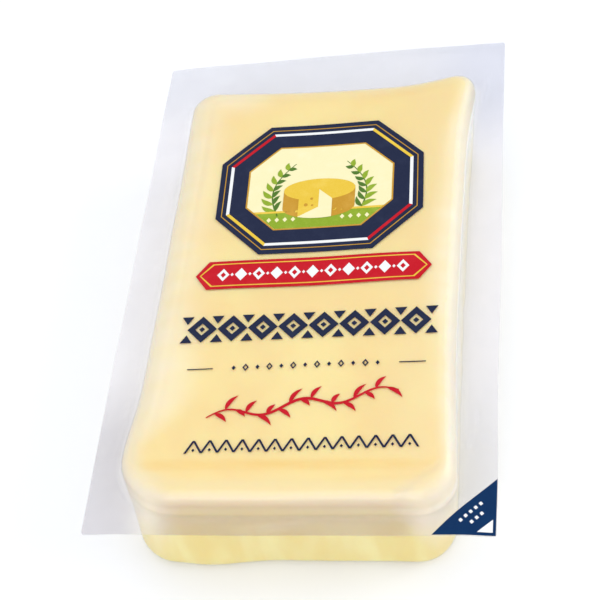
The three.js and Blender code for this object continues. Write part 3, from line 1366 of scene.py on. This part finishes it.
@dataclass
class Print:
    """The fields of colour printed on the top film.

    A badge with a cheese wheel between two sprigs, a bar below it, rows of plain shapes, and the opening
    corner. Each size is measured on the drawing, from the middle of the pack.
    """

    shape: PackShape
    films: Films
    centre: Point = (1.9, 0.0)
    turn: float = math.radians(1.6)
    badge: Point = (0.2, 23.9)
    badge_half: Point = (29.2, 23.6)
    badge_cut: float = 13.5
    badge_band: float = 8.6
    badge_fine: tuple[Point, ...] = ((1.5, 1.75), (8.3, 8.75))
    badge_inlay: Point = (2.9, 3.8)
    wheel: Point = (0.2, 22.6)
    wheel_half: Point = (10.2, 3.9)
    wheel_height: float = 6.4
    wheel_wedge: tuple[int, int] = (236, 292)
    wheel_eyes: tuple[Triple, ...] = ((0.35, 0.35, 0.42), (0.62, 0.55, 0.55), (0.3, 0.75, 0.34))
    cloth_y: float = 15.4
    cloth_inset: float = 8.8
    hem: float = 0.7
    stem_foot: Point = (11.5, -9.0)
    stem_height: float = 19.0
    stem_bow: float = 4.6
    stem_lean: float = 5.6
    leaf_length: float = 4.6
    bar_y: float = -6.3
    bar_half: Point = (32.2, 4.7)
    bar_point: float = 3.4
    bar_edge: Point = (0.9, 1.2)
    bar_pitch: float = 4.9
    title_y: float = -24.1
    title_half: float = 32.6
    title_height: float = 8.4
    title_count: int = 8
    small_y: float = -36.8
    small_pitch: float = 3.15
    small_dash: Point = (24.4, 31.2)
    brush_y: float = -48.6
    brush_half: float = 24.5
    zigzag_y: float = -60.2
    zigzag_half: float = 29.3
    zigzag_height: float = 3.6
    zigzag_teeth: int = 14
    zigzag_line: float = 0.62

    def on_top(self, point: Vector) -> Vector:
        """Takes a point of the drawing to the top of the pack."""
        x, y, z = Matrix.Rotation(self.turn, 3, "Z") @ point
        return self.shape.settle(Vector((x + self.centre[0], y + self.centre[1], self.shape.height + z)))

    def on_flange(self, point: Vector) -> Vector:
        """Takes a point measured from the near right corner to the flange."""
        flange = self.shape.flange
        return self.shape.settle(point + Vector((flange.right, flange.near, self.films.lid_top)))

    def octagon(self, inset: float) -> list[Point]:
        """The badge's outline, moved inwards by a distance: a rectangle with its corners cut off.

        Args:
            inset: The distance.

        Returns:
            Eight points, anticlockwise from the lower end of the right side.
        """
        (x, y), cut = self.badge, self.badge_cut - inset * (2 - math.sqrt(2))
        half_wide, half_high = self.badge_half[0] - inset, self.badge_half[1] - inset
        half = [
            (half_wide, -half_high + cut),
            (half_wide, half_high - cut),
            (half_wide - cut, half_high),
            (-half_wide + cut, half_high),
        ]
        return [(x + u, y + v) for u, v in half] + [(x - u, y - v) for u, v in half]

    def badge_inks(self) -> list[Ink]:
        """The badge: a navy field with fine lines, round a pale window.

        Returns:
            Its inks.
        """
        band = Ink("badge_field", Tone.NAVY)
        band.frame(self.octagon(0.0), self.octagon(self.badge_band))
        fine = Ink("badge_fine_lines", Tone.AMBER, 1)
        for outer, inner in self.badge_fine:
            fine.frame(self.octagon(outer), self.octagon(inner))
        made = [band, fine]
        inlay = ((Tone.WHITE, (0, 2, 4, 6)), (Tone.GOLD, (1, 5)), (Tone.RED, (3, 7)))
        for tone, sides in inlay:
            line = Ink(f"badge_{tone.name.lower()}_line", tone, 1)
            line.frame(*map(self.octagon, self.badge_inlay), sides)
            made.append(line)
        window = Ink("badge_window", Tone.CREAM)
        window.polygon(self.octagon(self.badge_band))
        return [*made, window]

    def wheel_inks(self) -> list[Ink]:
        """The badge's picture: a cheese wheel with a wedge cut out.

        Returns:
            Its inks.
        """
        (x, y), (wide, high) = self.wheel, self.wheel_half
        low = y - self.wheel_height

        def on_oval(angle: float, level: float) -> Point:
            """A point on the wheel's edge at a level."""
            turned = math.radians(angle)
            return x + wide * math.cos(turned), level + high * math.sin(turned)

        side = Ink("wheel_side", Tone.AMBER, 2)
        below = [on_oval(angle, low) for angle in range(180, 361, 9)]
        side.polygon([*below, (x + wide, y), (x - wide, y)])
        top = Ink("wheel_top", Tone.GOLD, 3)
        top.oval((x, y), wide, high)
        cut = Ink("wheel_cut", Tone.CREAM, 4)
        first, last = self.wheel_wedge
        rim = [on_oval(angle, low - 0.1) for angle in range(first, last + 1, 7)]
        cut.polygon([(x, y), on_oval(first, y), *rim, on_oval(last, y)])
        face = Ink("wheel_cut_faces", Tone.GOLD, 5)
        face.polygon([(x, y), on_oval(first, y), on_oval(first, low), (x, low)])
        eyes = Ink("wheel_eyes", Tone.AMBER, 6)
        edge = on_oval(first, y)
        for along, down, size in self.wheel_eyes:
            place = mix(x, edge[0], along), mix(y, edge[1], along) - down * self.wheel_height
            eyes.oval(place, size, size, 16)
        return [side, top, cut, face, eyes]

    def cloth_inks(self) -> list[Ink]:
        """The green cloth under the wheel, with a gold hem and a row of pale diamonds.

        Returns:
            Its inks.
        """
        window = self.octagon(self.cloth_inset)
        (right, foot), (left, _) = window[7], window[6]
        edge, slope = self.cloth_y, self.cloth_y - foot
        start, stop = left - slope, right + slope
        cloth = Ink("cloth", Tone.LEAF, 1)
        cloth.polygon([(start, edge), (left, foot), (right, foot), (stop, edge)])
        hem = Ink("cloth_hem", Tone.GOLD, 2)
        under = edge - self.hem
        hem.polygon([(start, edge), (stop, edge), (stop - self.hem, under), (start + self.hem, under)])
        dots = Ink("cloth_diamonds", Tone.CREAM, 2)
        places = row((self.wheel[0], foot + slope * 0.5), 2.3, 13)
        for place in places[:4] + places[-4:]:
            dots.lozenge(place, 1.3, 1.7)
        return [cloth, hem, dots]

    def badge_sprigs(self) -> list[Ink]:
        """The two leafy sprigs that stand beside the wheel.

        Returns:
            Their inks.
        """
        stems, leaves = Ink("sprig_stems", Tone.STEM, 1), Ink("sprig_leaves", Tone.LEAF, 2)
        shaded = Ink("sprig_shaded_leaves", Tone.STEM, 2)
        x, y = self.wheel
        for side in (-1, 1):

            def path(share: float) -> Point:
                """The stem's curve, from the cloth up and inwards.

                Args:
                    share: How far up the stem the place lies.

                Returns:
                    The place.
                """
                bow = self.stem_bow * math.sin(math.pi * share * 0.9)
                out = self.stem_foot[0] + bow - self.stem_lean * share
                return x + side * out, y + self.stem_foot[1] + self.stem_height * share

            stems.stroke(path, lambda share: 0.5 - 0.3 * share, 24)
            for number in range(7):
                share = 0.10 + 0.13 * number
                here, ahead = Vector(path(share)), Vector(path(share + 0.02))
                heading = math.atan2(ahead.y - here.y, ahead.x - here.x)
                length = self.leaf_length - 0.3 * number
                leaves.leaf(tuple(here), heading - side * 0.75, length, 1.5)
                shaded.leaf(tuple(here), heading + side * 0.75, length * 0.86, 1.3)
        return [stems, leaves, shaded]

    def bar_inks(self) -> list[Ink]:
        """The bar below the badge: a red field with a fine gold edge and a row of white diamonds.

        Returns:
            Its inks.
        """
        half_wide, half_high = self.bar_half

        def outline(inset: float) -> list[Point]:
            """The bar's six corners.

            Args:
                inset: How far they are moved inwards.

            Returns:
                The corners, anticlockwise from the right tip.
            """
            wide, high = half_wide - inset * 1.25, half_high - inset
            tip, top = wide - self.bar_point, self.bar_y + high
            half = [(wide, self.bar_y), (tip, top), (-tip, top)]
            return half + [(-u, 2 * self.bar_y - v) for u, v in half]

        bar = Ink("bar_field", Tone.RED, 2)
        bar.polygon(outline(0.0))
        edge = Ink("bar_edge", Tone.GOLD, 3)
        edge.frame(*map(outline, self.bar_edge))
        studs = Ink("bar_diamonds", Tone.WHITE, 3)
        middle = (0.0, self.bar_y)
        for number, place in enumerate(row(middle, self.bar_pitch, 11)):
            studs.lozenge(place, 3.4, 4.2, 0.0 if number % 2 else 0.45)
        for place in row(middle, self.bar_pitch, 10):
            studs.lozenge(place, 0.9, 1.1)
        return [bar, edge, studs]

    def title_row(self) -> Ink:
        """The large row: open diamonds round small ones, with triangles between them.

        Returns:
            Its ink.
        """
        ink = Ink("title_row", Tone.NAVY)
        y, high, pitch = self.title_y, self.title_height, 2 * self.title_half / self.title_count
        for place in row((0.0, y), pitch, self.title_count):
            ink.lozenge(place, pitch * 0.98, high, 0.46)
            ink.lozenge(place, pitch * 0.2, high * 0.2)
        for x, _ in row((0.0, y), pitch, self.title_count + 1):
            for side in (-1, 1):
                tip, base = y + side * high * 0.2, y + side * high * 0.5
                ink.polygon([(x, tip), (x + pitch * 0.2, base), (x - pitch * 0.2, base)])
        return ink

    def small_row(self) -> Ink:
        """The small row: diamonds, every other one open, between two short lines.

        Returns:
            Its ink.
        """
        ink = Ink("small_row", Tone.NAVY)
        for number, place in enumerate(row((0.0, self.small_y), self.small_pitch, 13)):
            size, opening = (1.0, 0.5) if number % 2 else (0.62, 0.0)
            ink.lozenge(place, 1.7 * size, 2.3 * size, opening)
        for side in (-1, 1):
            start, stop = (side * end for end in self.small_dash)
            ink.stroke(lambda t, a=start, b=stop: (mix(a, b, t), self.small_y), lambda _: 0.3, 2)
        return ink

    def brush_sprig(self) -> Ink:
        """The loose red sprig drawn with a brush between the rows.

        Returns:
            Its ink.
        """
        ink = Ink("red_sprig", Tone.RED)

        def path(share: float) -> Point:
            """The stem's wavy line, rising to the right."""
            rise = 6.6 * share - 3.2 + 1.5 * math.sin(share * math.pi * 5.0)
            return self.brush_half * (2 * share - 1), self.brush_y + rise

        ink.stroke(path, lambda share: 0.35 + 0.45 * math.sin(math.pi * held(share)), 60)
        for number in range(17):
            side = 1 if number % 2 else -1
            length = 4.3 + 1.1 * math.sin(number * 2.1)
            ink.leaf(path(0.04 + number * 0.056), side * 0.8 + 0.13, length, 1.2)
        return ink

    def zigzag_row(self) -> Ink:
        """The lowest row: a zigzag line with a dot in each of its teeth.

        Returns:
            Its ink.
        """
        ink = Ink("zigzag_row", Tone.NAVY)
        half, pitch = self.zigzag_height / 2, 2 * self.zigzag_half / self.zigzag_teeth
        ends = (self.zigzag_y - half, self.zigzag_y + half)
        for number in range(self.zigzag_teeth * 2):
            x = -self.zigzag_half + number * pitch / 2
            after, line = x + pitch / 2, self.zigzag_line
            start, stop = ends[::-1] if number % 2 else ends
            ink.polygon([(x, start), (x + line, start), (after + line, stop), (after, stop)])
        for place in row((0.3, self.zigzag_y - 0.9), pitch, self.zigzag_teeth):
            ink.lozenge(place, 0.8, 1.0)
        return ink

    def corner_inks(self) -> list[Ink]:
        """The opening corner: a dark triangle with a small white one and two rows of diamonds.

        Returns:
            Its inks.
        """
        blue = Ink("corner_field", Tone.BLUE)
        blue.polygon([(-0.15, 0.15), (-0.15, 15.2), (-15.4, 0.15)])
        white = Ink("corner_marks", Tone.WHITE, 1)
        white.polygon([(-0.9, 0.95), (-0.9, 4.3), (-4.6, 0.95)])
        for middle, count in (((-6.2, 6.0), 5), ((-4.75, 4.55), 3)):
            for place in row(middle, 1.15, count, (1.0, 1.0)):
                white.lozenge(place, 1.1, 1.1)
        return [blue, white]

    def build(self) -> list[bpy.types.Object]:
        """Draws every ink and lays it on the film.

        Returns:
            The pieces.
        """
        materials = {tone: tone.finish().material() for tone in Tone}
        picture = [*self.badge_inks(), *self.cloth_inks(), *self.wheel_inks(), *self.badge_sprigs()]
        rows = [self.title_row(), self.small_row(), self.zigzag_row(), self.brush_sprig()]
        top = [ink.lay(self.on_top, materials[ink.tone]) for ink in (*picture, *self.bar_inks(), *rows)]
        return top + [ink.lay(self.on_flange, materials[ink.tone]) for ink in self.corner_inks()]


# ---- The studio ----


@dataclass(frozen=True)
class Softbox:
    """A square light that faces the pack, with its place and side in metres and its power in watts."""

    name: str
    place: Triple
    size: float
    power: float

    def hang(self) -> None:
        """Adds the light."""
        data = bpy.data.lights.new(self.name, "AREA")
        data.size = self.size
        data.energy = self.power
        light = bpy.data.objects.new(self.name, data)
        light.location = self.place
        light.rotation_euler = Vector(self.place).to_track_quat("Z", "Y").to_euler()
        bpy.context.collection.objects.link(light)


@dataclass(frozen=True)
class Studio:
    """A white room with a plain floor, three softboxes and the camera, seen as the photograph is."""

    camera_place: Triple = (74.88, -242.22, 339.76)
    camera_turns: tuple[tuple[float, str], ...] = ((18.40, "Z"), (37.91, "X"), (-16.11, "Z"))
    lens: float = 87.6
    sensor: float = 36.0
    floor_size: float = 6.0
    floor_colours: tuple[Colour, Colour] = ((0.92, 0.935, 0.975), (0.94, 0.95, 0.985))
    room_colour: Colour = (0.955, 0.975, 1.0)
    room_light: float = 0.81
    softboxes: tuple[Softbox, ...] = (
        Softbox("overhead", (-0.5, 0.5, 1.3), 1.2, 3.8),
        Softbox("front", (-0.2, -1.25, 0.9), 1.0, 7.6),
        Softbox("right", (1.2, 0.2, 0.5), 0.9, 6.6),
    )

    def floor(self) -> None:
        """Lays the floor."""
        graph = Graph("floor")
        colour = graph.blend(graph.cloud(3.0, 1.0) * 0.3, *self.floor_colours)
        shader = graph.shader("Principled", {"Base Color": colour, "Roughness": 0.9})
        bm = bmesh.new()
        bmesh.ops.create_grid(bm, x_segments=1, y_segments=1, size=self.floor_size / 2)
        data = bpy.data.meshes.new("floor")
        bm.to_mesh(data)
        bm.free()
        data.materials.append(graph.show(shader))
        floor = bpy.data.objects.new("floor", data)
        bpy.context.collection.objects.link(floor)

    def lights(self) -> None:
        """Lights the room and hangs the softboxes."""
        world = bpy.data.worlds.new("room")
        world.use_nodes = True
        room = world.node_tree.nodes["Background"]
        room.inputs["Color"].default_value = (*self.room_colour, 1.0)
        room.inputs["Strength"].default_value = self.room_light
        bpy.context.scene.world = world
        for softbox in self.softboxes:
            softbox.hang()

    def camera(self) -> None:
        """Places the camera and turns it to the pack."""
        data = bpy.data.cameras.new("camera")
        data.lens = self.lens
        data.sensor_width = self.sensor
        camera = bpy.data.objects.new("camera", data)
        turned = Matrix.Identity(4)
        for angle, axis in self.camera_turns:
            turned = turned @ Matrix.Rotation(math.radians(angle), 4, axis)
        camera.matrix_world = Matrix.Translation(Vector(self.camera_place) * MM) @ turned
        bpy.context.collection.objects.link(camera)
        bpy.context.scene.camera = camera

    def build(self) -> None:
        """Sets up the floor, the lights, the camera and how light is shown."""
        self.floor()
        self.lights()
        self.camera()
        scene = bpy.context.scene
        scene.view_settings.view_transform = "Standard"
        scene.cycles.transparent_max_bounces = 32


def main() -> None:
    """Builds the pack and its studio."""
    logging.basicConfig(level=logging.INFO, format="%(message)s")
    noise.seed_set(SEED)
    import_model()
    shape = PackShape.from_frame()
    rims = Rims()
    films = Films(shape, rims)
    Studio().build()
    CheeseBlock(shape, rims).build()
    films.build()
    Print(shape, films).build()


if __name__ == "__main__":
    main()
